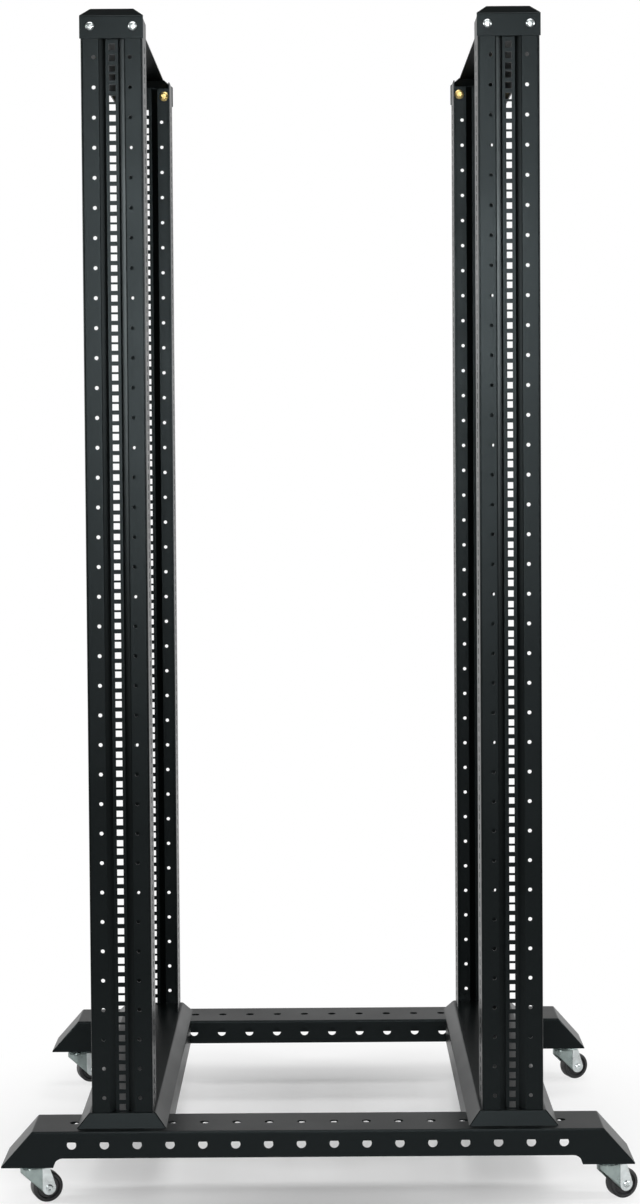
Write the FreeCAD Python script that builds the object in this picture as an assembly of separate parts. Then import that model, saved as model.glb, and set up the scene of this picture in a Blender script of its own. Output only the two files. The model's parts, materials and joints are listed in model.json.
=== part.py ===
"""Four-post open frame rack on swivel casters, folded from sheet steel.

Two floor beams carry two base trays. Each tray carries a front and a rear post, and a strap ties the
two posts at the top. Millimetres, +Z up, +X to the right, the front towards -Y.
The origin is on the floor under the middle of the rack.
"""
import FreeCAD, Part
import math
import os

V = FreeCAD.Vector
RIGHT = V(1, 0, 0)
BACK = V(0, 1, 0)
UP = V(0, 0, 1)
CENTRE = V(0, 0, 0)

# Sheet metal
SHEET = 2.0
BEND_RADIUS = 1.5

# Rack pattern of the posts
UNIT = 44.45
SQUARE_HOLE = 9.5
SQUARE_STEP = 15.875
SQUARES_PER_UNIT = 3
ROUND_HOLE_DIAMETER = 6.0
ROUND_HOLE_SPREAD = 54.0
ROUND_HOLE_UNITS = 1

# Posts
POST_SPACING = 588.0
FACE_DEPTH = 728.0
POST_WIDTH = 92.0
POST_DEPTH = 75.0
POST_HEIGHT = 1637.2
GROOVE_MOUTH = 41.0
GROOVE_FLOOR = 20.0
GROOVE_DEPTH = 25.0

# Floor beams
BEAM_WIDTH = 100.0
BEAM_WALL = 40.0
BEAM_LENGTH = 946.0
BEAM_SLOPE_RUN = 46.0
BEAM_PROUD = 36.0
LEG_LENGTH = 78.0
LEG_DROP = 14.0
BEAM_HOLE_DIAMETER = 14.0
BEAM_HOLE_PITCH = 49.0
BEAM_HOLE_COUNT = 16
BEAM_HOLE_SIDES = 8

# Base trays
TRAY_MARGIN = 4.0
TRAY_RIM = 2.0
SKIRT_RISE = 19.0
SKIRT_RUN = 17.0
MITRE_SLIT = 2.0
LIP_END_GAP = 1.0

# Top straps
STRAP_WIDTH = 63.0
STRAP_SLOPE = 12.0
STRAP_OVERHANG = 1.25
STRAP_END_HEIGHT = 32.0
STRAP_LIP_HEIGHT = 42.0

# Casters
CASTER_HEIGHT = 67.0
CASTER_INSET = 37.0
CASTER_TRAIL = 26.0
CASTER_YAW = 22.0
PLATE_LENGTH = 54.0
PLATE_WIDTH = 46.0
PLATE_THICKNESS = 2.5
PLATE_CORNER = 5.0
RACE_DIAMETER = 30.0
RACE_HEIGHT = 7.0
KINGPIN_DIAMETER = 8.0
KINGPIN_HEAD_WIDTH = 13.0
KINGPIN_HEAD_HEIGHT = 2.5
FORK_SHEET = 2.5
FORK_GAP = 24.0
FORK_SKIRT = 9.0
FORK_BACK = 26.0
FORK_TOE_RADIUS = 10.5
FORK_TOE_SIDES = 6
WHEEL_DIAMETER = 46.0
WHEEL_WIDTH = 22.0
AXLE_DIAMETER = 6.0
AXLE_NUT_WIDTH = 10.0
AXLE_NUT_HEIGHT = 3.0
RUNNING_CLEARANCE = 0.1
SIDE_CLEARANCE = 0.3
CASTER_SIDES = 16
NUT_SIDES = 6

# Levels, from the floor up
LEG_BOTTOM = CASTER_HEIGHT
BEAM_WALL_BOTTOM = LEG_BOTTOM + LEG_DROP
BEAM_TOP = BEAM_WALL_BOTTOM + BEAM_WALL
TRAY_TOP = BEAM_TOP + SKIRT_RISE
POST_TOP = TRAY_TOP + POST_HEIGHT
BEAM_OFFSET = FACE_DEPTH / 2 + BEAM_PROUD - BEAM_WIDTH / 2

# Fits that follow from the posts
UNIT_COUNT = int(POST_HEIGHT / UNIT)
TRAY_WIDTH = POST_WIDTH + 2 * TRAY_MARGIN
STRAP_END_WIDTH = POST_WIDTH + 2 * STRAP_OVERHANG

# Caster levels, from the plate down
PLATE_BOTTOM = CASTER_HEIGHT - PLATE_THICKNESS
RACE_BOTTOM = PLATE_BOTTOM - RACE_HEIGHT
CROWN_TOP = RACE_BOTTOM - SIDE_CLEARANCE
CROWN_BOTTOM = CROWN_TOP - FORK_SHEET
FORK_HALF = FORK_GAP / 2 + FORK_SHEET
AXLE_CENTRE = V(CASTER_TRAIL, 0, WHEEL_DIAMETER / 2)


def block(low, high):
    """Box between two opposite corners."""
    size = high - low
    return Part.makeBox(size.x, size.y, size.z, low)


def prism(points, depth):
    """Flat outline through the points, pushed along the depth vector."""
    wire = Part.makePolygon(points + [points[0]])
    return Part.Face(wire).extrude(depth)


def faceted_rod(diameter, length, start, direction, sides):
    """Rod of a few flat sides, with the given size across its flats."""
    corner_radius = diameter / 2 / math.cos(math.pi / sides)
    heading = FreeCAD.Rotation(UP, direction)
    corners = []
    for index in range(sides):
        angle = (index + 0.5) * 2 * math.pi / sides
        spoke = V(math.cos(angle), math.sin(angle), 0) * corner_radius
        corners.append(start + heading.multVec(spoke))
    return prism(corners, direction * length)


def centred_row(count, pitch):
    """Places of a row of things, spread evenly on both sides of zero."""
    return [(index - (count - 1) / 2) * pitch for index in range(count)]


def placed(shape, x, y, z=0.0, yaw=0.0):
    """Copy of a shape, turned about its own upright axis and moved."""
    copy = shape.copy()
    copy.rotate(CENTRE, UP, yaw)
    copy.translate(V(x, y, z))
    return copy


def left_normal(direction):
    """Direction turned a quarter turn to the left in the XY plane."""
    return V(-direction.y, direction.x, 0)


def folded_section(points, thickness, inside_radius):
    """Face in the XY plane of a sheet folded along a middle line, each bend in two flats round its arc."""
    middle_radius = inside_radius + thickness / 2
    runs = [(end - start).normalize() for start, end in zip(points, points[1:])]

    def side_corners(offset):
        """Corners on one side of the middle line, with three on every bend."""
        corners = [points[0] + left_normal(runs[0]) * offset]
        for corner, before, after in zip(points[1:], runs, runs[1:]):
            turn = math.copysign(1, before.cross(after).z)
            reach = middle_radius * math.tan(before.getAngle(after) / 2)
            centre = corner - before * reach + left_normal(before) * (turn * middle_radius)
            arc_start = corner - before * reach + left_normal(before) * offset
            arc_end = corner + after * reach + left_normal(after) * offset
            outward = (corner - centre).normalize()
            arc_middle = centre + outward * (middle_radius - turn * offset)
            corners += [arc_start, arc_middle, arc_end]
        corners.append(points[-1] + left_normal(runs[-1]) * offset)
        return corners

    loop = side_corners(thickness / 2) + side_corners(-thickness / 2)[::-1]
    return Part.Face(Part.makePolygon(loop + [loop[0]]))


def post():
    """Post standing on z = 0, face on y = 0, open side towards +Y."""
    side = POST_WIDTH / 2 - SHEET / 2
    face = SHEET / 2
    groove = GROOVE_DEPTH + SHEET / 2
    mouth = V(GROOVE_MOUTH / 2, face, 0)
    floor = V(GROOVE_FLOOR / 2, groove, 0)
    right_half = [V(side, POST_DEPTH, 0), V(side, face, 0), mouth, floor]
    left_half = [V(-point.x, point.y, 0) for point in reversed(right_half)]
    body = folded_section(right_half + left_half, SHEET, BEND_RADIUS).extrude(UP * POST_HEIGHT)

    half_hole = SQUARE_HOLE / 2
    cutters = []
    for unit in range(UNIT_COUNT):
        middle = (unit + 0.5) * UNIT
        for step in centred_row(SQUARES_PER_UNIT, SQUARE_STEP):
            low = V(-half_hole, GROOVE_DEPTH - SHEET, middle + step - half_hole)
            high = V(half_hole, GROOVE_DEPTH + 2 * SHEET, middle + step + half_hole)
            cutters.append(block(low, high))
        if unit < ROUND_HOLE_UNITS:
            for x in centred_row(2, ROUND_HOLE_SPREAD):
                start = V(x, -SHEET, middle)
                cutters.append(Part.makeCylinder(ROUND_HOLE_DIAMETER / 2, 3 * SHEET, start, BACK))
    return body.cut(Part.makeCompound(cutters))


def beam():
    """Floor beam along X, centred on x = 0 and y = 0: an inverted channel with sloping closed ends."""
    tip = BEAM_LENGTH / 2
    flat = tip - BEAM_SLOPE_RUN
    heel = tip - LEG_LENGTH
    knee = heel - LEG_DROP
    toe_top = LEG_BOTTOM + SHEET
    half_width = BEAM_WIDTH / 2

    def both_ends(points, y):
        """Right end of an upright outline and its mirror image, as one loop."""
        right = [V(x, y, z) for x, z in points]
        left = [V(-x, y, z) for x, z in reversed(points)]
        return right + left

    leg = [(knee, BEAM_WALL_BOTTOM), (knee, LEG_BOTTOM), (tip, LEG_BOTTOM), (tip, toe_top)]
    solid = prism(both_ends(leg + [(flat, BEAM_TOP)], -half_width), BACK * BEAM_WIDTH)
    for x in (-knee, knee):
        solid = solid.cut(Part.makeCylinder(LEG_DROP, BEAM_WIDTH, V(x, -half_width, LEG_BOTTOM), BACK))
    folds = []
    for edge in solid.Edges:
        lengthwise = edge.BoundBox.YLength < SHEET
        above_toe = edge.BoundBox.ZMax > BEAM_TOP - SHEET
        if lengthwise and above_toe:
            folds.append(edge)
    solid = solid.makeFillet(BEND_RADIUS + SHEET, folds)

    slope = math.atan2(BEAM_TOP - toe_top, tip - flat)
    inner_flat = flat - SHEET * math.tan(slope / 2)
    inner_tip = tip - SHEET / math.sin(slope)
    inner_leg = [(heel, LEG_BOTTOM - SHEET), (heel, toe_top), (inner_tip, toe_top)]
    inner = inner_leg + [(inner_flat, BEAM_TOP - SHEET)]
    inner_half = half_width - SHEET
    hollow = prism(both_ends(inner, -inner_half), BACK * (2 * inner_half))

    holes = []
    wall_middle = BEAM_TOP - BEAM_WALL / 2
    for x in centred_row(BEAM_HOLE_COUNT, BEAM_HOLE_PITCH):
        top_start = V(x, 0, BEAM_TOP - 2 * SHEET)
        wall_start = V(x, -BEAM_WIDTH, wall_middle)
        holes.append(faceted_rod(BEAM_HOLE_DIAMETER, 3 * SHEET, top_start, UP, BEAM_HOLE_SIDES))
        holes.append(faceted_rod(BEAM_HOLE_DIAMETER, 2 * BEAM_WIDTH, wall_start, BACK, BEAM_HOLE_SIDES))
    return solid.cut(hollow).cut(Part.makeCompound(holes))


def frustum(width, length, top, rise, run):
    """Solid with a flat rectangular top whose four sides slope outwards going down."""
    def loop(grow, z):
        """Rectangle grown on all sides, at a height."""
        x = width / 2 + grow
        y = length / 2 + grow
        corners = [V(x, y, z), V(-x, y, z), V(-x, -y, z), V(x, -y, z)]
        return Part.makePolygon(corners + [corners[0]])
    return Part.makeLoft([loop(0, top), loop(run, top - rise)], True, True)


def base_tray():
    """Tray centred on x = 0 and y = 0: a folded pan whose lips hang between the beams."""
    length = FACE_DEPTH + 2 * TRAY_RIM
    lean = math.atan2(SKIRT_RUN, SKIRT_RISE)
    skirt_across = SHEET / math.cos(lean)
    inset = SHEET * math.tan((math.pi / 2 - lean) / 2)
    pan = frustum(TRAY_WIDTH, length, TRAY_TOP, SKIRT_RISE, SKIRT_RUN)
    rim = [edge for edge in pan.Edges if edge.BoundBox.ZMin > TRAY_TOP - SHEET]
    pan = pan.makeFillet(BEND_RADIUS + SHEET, rim)
    inner_width = TRAY_WIDTH - 2 * inset
    inner_length = length - 2 * inset
    inner_rise = SKIRT_RISE - SHEET
    inner_run = SKIRT_RUN - skirt_across + inset
    pan = pan.cut(frustum(inner_width, inner_length, TRAY_TOP - SHEET, inner_rise, inner_run))

    foot = TRAY_WIDTH / 2 + SKIRT_RUN
    lip_half = BEAM_OFFSET - BEAM_WIDTH / 2 - LIP_END_GAP
    lip = block(V(foot - SHEET, -lip_half, BEAM_WALL_BOTTOM), V(foot, lip_half, BEAM_TOP))
    pan = pan.fuse([lip, lip.mirror(CENTRE, RIGHT)])

    slit_low = V(0, -MITRE_SLIT / 2, BEAM_TOP - SHEET)
    slit_high = V(3 * SKIRT_RUN, MITRE_SLIT / 2, TRAY_TOP + SHEET)
    slit = block(slit_low, slit_high)
    slits = []
    for side_x in (-1, 1):
        for side_y in (-1, 1):
            heading = math.degrees(math.atan2(side_y, side_x))
            slits.append(placed(slit, side_x * TRAY_WIDTH / 2, side_y * length / 2, 0, heading))
    return pan.cut(slits).removeSplitter()


def top_strap():
    """Strap along Y, centred on x = 0: its ends fold down over the post faces and its +X side has a lip."""
    plate_half = FACE_DEPTH / 2
    flat_half = plate_half - STRAP_SLOPE
    wide = STRAP_END_WIDTH / 2
    narrow = STRAP_WIDTH / 2
    shoulder = POST_TOP + STRAP_SLOPE + SHEET / 2
    headroom = STRAP_SLOPE + 2 * SHEET

    end_middle = plate_half + SHEET / 2
    end_bottom = POST_TOP - STRAP_END_HEIGHT
    front = [V(-end_middle, end_bottom, 0), V(-end_middle, POST_TOP, 0), V(-flat_half, shoulder, 0)]
    rear = [V(-point.x, point.y, 0) for point in reversed(front)]
    strip = folded_section(front + rear, SHEET, BEND_RADIUS).extrude(UP * STRAP_END_WIDTH)
    strip.translate(V(0, 0, -wide))
    strip.rotate(CENTRE, V(1, 1, 1), 120)
    end_plan = [(wide, -plate_half - 2 * SHEET), (wide, -plate_half), (narrow, -flat_half)]
    side = end_plan + [(x, -y) for x, y in reversed(end_plan)]
    plan = [V(x, y, end_bottom) for x, y in side] + [V(-x, y, end_bottom) for x, y in reversed(side)]
    strip = strip.common(prism(plan, UP * (STRAP_END_HEIGHT + headroom)))

    lip_middle = POST_WIDTH / 2 - SHEET / 2
    lip_bottom = POST_TOP - STRAP_LIP_HEIGHT
    lip_half = plate_half - POST_DEPTH - LIP_END_GAP
    slope = [V(0, shoulder, 0), V(narrow, shoulder, 0), V(lip_middle, POST_TOP, 0)]
    fold = slope + [V(lip_middle, lip_bottom, 0)]
    lip = folded_section(fold, SHEET, BEND_RADIUS).extrude(UP * FACE_DEPTH)
    lip.rotate(CENTRE, RIGHT, 90)
    lip.translate(BACK * plate_half)
    over_posts = [(0, -flat_half), (narrow, -flat_half), (wide, -plate_half)]
    slope_side = over_posts + [(x, -y) for x, y in reversed(over_posts)]
    slope_room = prism([V(x, y, POST_TOP) for x, y in slope_side], UP * headroom)
    lip_room = block(V(0, -lip_half, lip_bottom), V(wide, lip_half, POST_TOP + SHEET))
    return strip.fuse(lip.common(slope_room.fuse(lip_room))).removeSplitter()


def caster_plate():
    """Fixed plate with its ball race and the kingpin that the fork hangs on, swivel axis on Z."""
    half_length = PLATE_LENGTH / 2
    half_width = PLATE_WIDTH / 2
    plate = block(V(-half_length, -half_width, PLATE_BOTTOM), V(half_length, half_width, CASTER_HEIGHT))
    corners = [edge for edge in plate.Edges if edge.BoundBox.ZLength > PLATE_THICKNESS / 2]
    plate = plate.makeChamfer(PLATE_CORNER, corners)
    race = faceted_rod(RACE_DIAMETER, RACE_HEIGHT, V(0, 0, RACE_BOTTOM), UP, CASTER_SIDES)
    head_top = CROWN_BOTTOM - SIDE_CLEARANCE
    pin = Part.makeCylinder(KINGPIN_DIAMETER / 2, RACE_BOTTOM - head_top, V(0, 0, head_top), UP)
    head = faceted_rod(KINGPIN_HEAD_WIDTH, KINGPIN_HEAD_HEIGHT, V(0, 0, head_top), UP * -1, NUT_SIDES)
    return plate.fuse([race, pin, head]).removeSplitter()


def horseshoe(radius, length, bottom, top):
    """Half round on the leading side of the swivel axis, drawn out to the trailing end."""
    disc = faceted_rod(2 * radius, top - bottom, V(0, 0, bottom), UP, CASTER_SIDES)
    return disc.fuse(block(V(0, -radius, bottom), V(length, radius, top)))


def tangent_heading(start, centre, radius, side):
    """Direction in XZ from a circle's centre to where a line from start touches it, on one side."""
    away = start - centre
    return math.atan2(away.z, away.x) + side * math.acos(radius / away.Length)


def caster_fork():
    """Pressed fork with its axle bolt: a crown, a round leading skirt and two legs that trail to +X."""
    length = CASTER_TRAIL + FORK_TOE_RADIUS
    shell = horseshoe(FORK_HALF, length, 0, CROWN_TOP)
    shell = shell.cut(horseshoe(FORK_GAP / 2, 2 * length, -FORK_SHEET, CROWN_BOTTOM))

    lead_top = V(-FORK_HALF, 0, CROWN_TOP)
    lead_low = V(-FORK_HALF, 0, CROWN_TOP - FORK_SKIRT)
    back_top = V(FORK_BACK, 0, CROWN_TOP)
    toe_start = tangent_heading(back_top, AXLE_CENTRE, FORK_TOE_RADIUS, -1)
    toe_end = tangent_heading(lead_low, AXLE_CENTRE, FORK_TOE_RADIUS, 1) - 2 * math.pi
    toe = []
    for index in range(FORK_TOE_SIDES + 1):
        heading = toe_start + (toe_end - toe_start) * index / FORK_TOE_SIDES
        toe.append(AXLE_CENTRE + V(math.cos(heading), 0, math.sin(heading)) * FORK_TOE_RADIUS)
    across = V(0, -FORK_HALF, 0)
    outline = [point + across for point in [lead_low, lead_top, back_top] + toe]
    fork = shell.common(prism(outline, BACK * (2 * FORK_HALF)))

    pin_bore = KINGPIN_DIAMETER + 2 * RUNNING_CLEARANCE
    fork = fork.cut(faceted_rod(pin_bore, 2 * FORK_SHEET, V(0, 0, CROWN_TOP), UP * -1, CASTER_SIDES))
    near = AXLE_CENTRE - BACK * FORK_HALF
    far = AXLE_CENTRE + BACK * FORK_HALF
    axle = Part.makeCylinder(AXLE_DIAMETER / 2, 2 * FORK_HALF, near, BACK)
    near_nut = faceted_rod(AXLE_NUT_WIDTH, AXLE_NUT_HEIGHT, near, BACK * -1, NUT_SIDES)
    far_nut = faceted_rod(AXLE_NUT_WIDTH, AXLE_NUT_HEIGHT, far, BACK, NUT_SIDES)
    return fork.fuse([axle, near_nut, far_nut]).removeSplitter()


def caster_wheel():
    """Solid wheel that turns on the axle between the fork legs."""
    start = AXLE_CENTRE - BACK * (WHEEL_WIDTH / 2)
    tread = Part.makeCylinder(WHEEL_DIAMETER / 2, WHEEL_WIDTH, start, BACK)
    bore = Part.makeCylinder(AXLE_DIAMETER / 2 + RUNNING_CLEARANCE, WHEEL_WIDTH, start, BACK)
    return tread.cut(bore)


def write(name, shape):
    """Writes one named piece."""
    shape.exportStep("parts/" + name + ".step")


os.makedirs("parts", exist_ok=True)
SIDES = {"left": -1, "right": 1}
ENDS = {"front": -1, "rear": 1}
post_shape = post()
beam_shape = beam()
tray_shape = base_tray()
strap_shape = top_strap()
fixed_plate = caster_plate()
turned_pieces = {"fork": caster_fork(), "wheel": caster_wheel()}

for side, side_sign in SIDES.items():
    post_x = side_sign * POST_SPACING / 2
    write(side + "_base_tray", placed(tray_shape, post_x, 0))
    write(side + "_top_strap", placed(strap_shape, post_x, 0, 0, 90 - 90 * side_sign))

for end, end_sign in ENDS.items():
    beam_y = end_sign * BEAM_OFFSET
    post_turn = 90 + 90 * end_sign
    write(end + "_beam", placed(beam_shape, 0, beam_y))
    for side, side_sign in SIDES.items():
        corner = end + "_" + side
        post_x = side_sign * POST_SPACING / 2
        caster_x = side_sign * (BEAM_LENGTH / 2 - CASTER_INSET)
        face_y = end_sign * FACE_DEPTH / 2
        write(corner + "_post", placed(post_shape, post_x, face_y, TRAY_TOP, post_turn))
        write(corner + "_caster_plate", placed(fixed_plate, caster_x, beam_y))
        for piece, shape in turned_pieces.items():
            write(corner + "_caster_" + piece, placed(shape, caster_x, beam_y, 0, CASTER_YAW))
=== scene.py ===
"""Dressed model of a four-post open frame rack on casters.

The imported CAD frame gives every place. Each piece is a surface worked out with numpy, in metres,
in the CAD frame: +Z up, +X to the right, the front towards -Y.
"""
import json
import math

import bpy
import numpy as np
from bpy.props import FloatProperty, FloatVectorProperty, IntProperty, PointerProperty
from mathutils import Matrix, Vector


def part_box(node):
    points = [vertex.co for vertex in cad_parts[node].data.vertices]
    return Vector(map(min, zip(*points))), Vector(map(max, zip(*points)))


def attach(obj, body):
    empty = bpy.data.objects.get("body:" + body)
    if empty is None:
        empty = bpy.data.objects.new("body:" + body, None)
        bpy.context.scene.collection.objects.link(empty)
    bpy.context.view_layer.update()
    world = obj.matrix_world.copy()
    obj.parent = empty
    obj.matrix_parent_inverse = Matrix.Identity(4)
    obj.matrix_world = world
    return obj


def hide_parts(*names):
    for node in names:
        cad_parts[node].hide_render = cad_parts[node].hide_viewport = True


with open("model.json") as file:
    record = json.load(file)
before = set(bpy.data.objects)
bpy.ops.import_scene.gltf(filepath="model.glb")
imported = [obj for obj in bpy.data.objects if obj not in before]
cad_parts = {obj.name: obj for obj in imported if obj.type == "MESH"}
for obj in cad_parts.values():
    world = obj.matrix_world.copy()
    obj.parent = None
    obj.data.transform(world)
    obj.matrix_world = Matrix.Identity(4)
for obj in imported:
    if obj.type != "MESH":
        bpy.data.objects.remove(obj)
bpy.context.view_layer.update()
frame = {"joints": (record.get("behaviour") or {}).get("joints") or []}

bl_info = {
    "name": "Open frame rack",
    "version": (1, 0, 0),
    "blender": (4, 5, 0),
    "location": "3D View > Sidebar > Rack",
    "description": "Builds the pieces, casters, fasteners and stage of an open frame rack",
    "category": "Add Mesh",
}

MM = 0.001
FULL_TURN = 2 * math.pi
RIGHT = np.array([1.0, 0.0, 0.0])
BACK = np.array([0.0, 1.0, 0.0])
UP = np.array([0.0, 0.0, 1.0])
ENDS = {"front": -1, "rear": 1}
SIDES = {"left": -1, "right": 1}
CORNERS = [(end, side) for end in ENDS for side in SIDES]

# How finely curves are drawn
BEND_STEPS = 5
FOLD_STEPS = 4
CORNER_STEPS = 5
QUARTER_POINTS = 7
STRIP_HOLE_POINTS = 16
BEAM_HOLE_POINTS = 24
TOE_POINTS = 25
SIX_SIDES = 6
SCREW_SEGMENTS = 20
PIN_SEGMENTS = 24
FLANGE_SEGMENTS = 32
RACE_SEGMENTS = 48
WHEEL_SEGMENTS = 72
# Points closer than this become one
WELD_DISTANCE = 1e-6

# Flat rim beside the bends of trays and straps, and the gap at both ends of their lips
TOP_RIM = 2 * MM
LIP_GAP = MM
# Width over the flats, height and thread of the strap nuts
STRAP_NUT = (10 * MM, 5 * MM, 6 * MM)
# Axle bolt's head as (radius, height) from its dimple to its rim, in millimetres
AXLE_HEAD = [[0, 0.9], [1.6, 0.9], [2.2, 2.2], [4.1, 2.6], [5.1, 2.0], [5.5, 1.0], [5.5, 0]]
WHEEL_HALF_WIDTH = 11 * MM

# The picture that the camera was matched to
PICTURE_HEIGHT = 1204
SENSOR = 36.0

# Stage: metres over which the floor is seen as white, takes its far colour and is mirrored
FLOOR_REACH = 30.0
FLOOR_ROUGHNESS = 0.9
SHADOW_EDGE = (0.15, 0.8)
PALE_EDGE = (1.2, 1.9)
BEHIND_EDGE = (0, 1)
# Y and Z of the directions over which the mirrored room fades to the white backdrop
BACKDROP_Y = (-0.3, 0.5)
BACKDROP_Z = (0.5, 0.1)
WHITE = (1, 1, 1, 1)


def length(label, note, default):
    """Property that holds a length in metres."""
    return FloatProperty(name=label, description=note, default=default, min=0,
                         unit="LENGTH", precision=5)


def colour(label, note, default):
    """Property that holds a linear colour."""
    return FloatVectorProperty(name=label, description=note, default=default, min=0, max=1,
                               size=3, subtype="COLOR")


def number(label, note, default):
    """Property that holds a plain number."""
    return FloatProperty(name=label, description=note, default=default)


class RackPostSettings(bpy.types.PropertyGroup):
    """Section and hole pattern of the posts."""
    sheet: length("Sheet", "Thickness of the folded sheet", 2 * MM)
    bend: length("Bend radius", "Inside radius of the bends", 1.5 * MM)
    unit: length("Rack unit", "Height of one rack unit", 44.45 * MM)
    square: length("Square hole", "Side of a square hole", 9.5 * MM)
    square_step: length("Square step", "Distance between the square holes of one unit", 15.875 * MM)
    round_hole: length("Round hole", "Diameter of the holes in the strips", 6 * MM)
    round_spread: length("Hole spread", "Distance between the two columns of round holes", 54 * MM)
    mouth: length("Groove mouth", "Width of the groove at the face", 39 * MM)
    floor: length("Groove floor", "Width of the groove's floor", 20 * MM)
    groove: length("Groove depth", "Depth of the groove behind the face", 7.5 * MM)
    wall_holes: length("Wall holes", "Distance of the side wall's holes behind the face", 40 * MM)
    wall_band: length("Wall band", "Width of the band that the side wall's holes stand in", 16 * MM)


class RackBaseSettings(bpy.types.PropertyGroup):
    """Floor beams, base trays and top straps."""
    beam_hole: length("Beam hole", "Diameter of the holes in the beams", 14 * MM)
    beam_pitch: length("Beam pitch", "Distance between neighbouring beam holes", 49 * MM)
    beam_holes: IntProperty(name="Beam holes", description="Holes in one row of a beam",
                            default=16, min=2)
    beam_slope: length("Beam slope", "Length of the slope at a beam's end", 46 * MM)
    beam_wall: length("Beam wall", "Height of a beam's wall between the legs", 40 * MM)
    beam_rear_wall: length("Beam rear wall", "Height of the rear wall between the legs", 44 * MM)
    leg: length("Leg length", "Length of a beam's closed leg", 78 * MM)
    leg_drop: length("Leg drop", "How far a leg reaches below the wall", 14 * MM)
    tray_run: length("Skirt run", "Reach of a tray's sloping skirt", 17 * MM)
    tray_rise: length("Skirt rise", "Height of a tray's sloping skirt", 19 * MM)
    mitre: length("Mitre slit", "Width of the slit at a tray's corner", 2 * MM)
    strap_width: length("Strap width", "Width of a strap's level top", 63 * MM)
    strap_slope: length("Strap slope", "Rise and run of the slope at a strap's end", 12 * MM)
    strap_plate: length("Strap plate", "Height of the plate on a post's face", 32 * MM)
    screw_spread: length("Screw spread", "Distance between a strap end's two screws", 63.4 * MM)
    screw_drop: length("Screw drop", "Depth of the screws below the top of the posts", 14 * MM)
    screw_head: length("Screw head", "Diameter of a strap screw's head", 13.5 * MM)


class RackCasterSettings(bpy.types.PropertyGroup):
    """Swivel casters."""
    plate_corner: length("Plate corner", "Corner radius of the fixed plate", 5 * MM)
    plate_sheet: length("Plate", "Thickness of the fixed plate", 2.5 * MM)
    bolt_spread: length("Bolt spread", "Distance between the plate's bolts", 34 * MM)
    race: length("Race", "Diameter of the ball race", 30 * MM)
    fork_sheet: length("Fork sheet", "Thickness of the pressed fork", 2.5 * MM)
    fork_half: length("Fork half", "Half the width of the fork over its legs", 14.5 * MM)
    fork_top: length("Fork top", "Height of the fork's crown above the floor", 57.2 * MM)
    fork_skirt: length("Fork skirt", "Height of the skirt at the leading side", 9 * MM)
    fork_back: length("Fork back", "Reach of the crown behind the swivel axis", 26 * MM)
    fork_bend: length("Fork bend", "Middle radius of the bend under the crown", 3 * MM)
    panel: length("Leg panel", "How far the flat panel of a leg stands out", 1.2 * MM)
    toe: length("Toe", "Radius of the rounded toe of a leg", 10.5 * MM)
    axle: length("Axle", "Diameter of the axle", 6 * MM)
    tread_round: length("Tread round", "Radius of the tread's edges", 3.5 * MM)


class RackFinishSettings(bpy.types.PropertyGroup):
    """Colours of the finishes."""
    coat: colour("Coat", "Black powder coat", (0.002, 0.0025, 0.0025))
    zinc: colour("Zinc", "Bright zinc plate", (0.62, 0.66, 0.66))
    # Painted shade: a darker copy of the zinc, put on the forks so that they read shaded beside
    # their brighter leg panels
    shade_darkened_zinc: colour("Dull zinc", "Zinc of the pressed forks", (0.28, 0.33, 0.32))
    yellow: colour("Yellow zinc", "Yellow zinc plate of the nuts", (0.66, 0.5, 0.2))
    tyre: colour("Tyre", "Black wheels", (0.012, 0.012, 0.013))


class RackStageSettings(bpy.types.PropertyGroup):
    """Floor, lamps and camera."""
    floor: colour("Floor", "Pale floor", (0.92, 0.92, 0.92))
    far_floor: colour("Far floor", "Floor far from the rack", (0.15, 0.15, 0.15))
    key: number("Key lamp", "Power of the lamp above the camera in watts", 95.0)
    top: number("Top lamp", "Power of the lamp above the rack in watts", 50.0)
    side: number("Side lamp", "Power of each lamp at the sides in watts", 50.0)
    back: number("Back lamp", "Power of the lamp behind the rack in watts", 40.0)
    ambient: number("Ambient", "Strength of the light from all round", 0.1)
    place: FloatVectorProperty(name="Camera place", description="Where the camera stands", size=3,
                               default=(0.011, -4.0008, 1.1385), unit="LENGTH")
    pitch: number("Pitch", "Degrees that the camera looks down", 2.245)
    yaw: number("Yaw", "Degrees that the camera looks to the right", -0.023)
    roll: number("Roll", "Degrees that the camera leans", -0.407)
    focal: number("Focal length", "Focal length in pixels of the picture", 2440.1)
    shift: number("Shift", "Pixels between the picture's middle and the optical axis", -59.0)


# Mesh arrays


def join(*parts):
    """Several (points, faces) pairs as one, with each later pair's point numbers moved up."""
    starts = np.cumsum([0] + [len(points) for points, _ in parts])
    points = np.concatenate([points for points, _ in parts])
    faces = [block + start for (_, blocks), start in zip(parts, starts) for block in blocks]
    return points, faces


def weld(points, faces):
    """One point for all that coincide. A quad that loses a corner this way becomes a triangle."""
    _, first, merged = np.unique(np.round(points / WELD_DISTANCE).astype(np.int64), axis=0,
                                 return_index=True, return_inverse=True)
    merged = merged.ravel()
    kept = []
    for block in faces:
        block = merged[block]
        if block.shape[1] != 4:
            kept.append(block)
            continue
        double = block == np.roll(block, -1, axis=1)
        lost = double.sum(axis=1)
        kept.append(block[lost == 0])
        pinched = lost == 1
        kept.append(block[pinched][~double[pinched]].reshape(-1, 3))
    return points[first], [block for block in kept if len(block)]


def turned_to(part, across, along, place):
    """A part whose X and Y axes are laid on two directions and whose origin on a place."""
    points, faces = part
    basis = np.stack([across, along, np.cross(across, along)])
    return points @ basis + np.asarray(place), faces


def grid_cells(rows, columns, closed=False):
    """Quads of a grid of points counted row by row. A closed grid's last column joins its first."""
    index = np.arange(rows * columns).reshape(rows, columns)
    if closed:
        index = np.concatenate([index, index[:, :1]], axis=1)
    return np.stack([index[:-1, :-1], index[:-1, 1:], index[1:, 1:], index[1:, :-1]], axis=-1)


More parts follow.
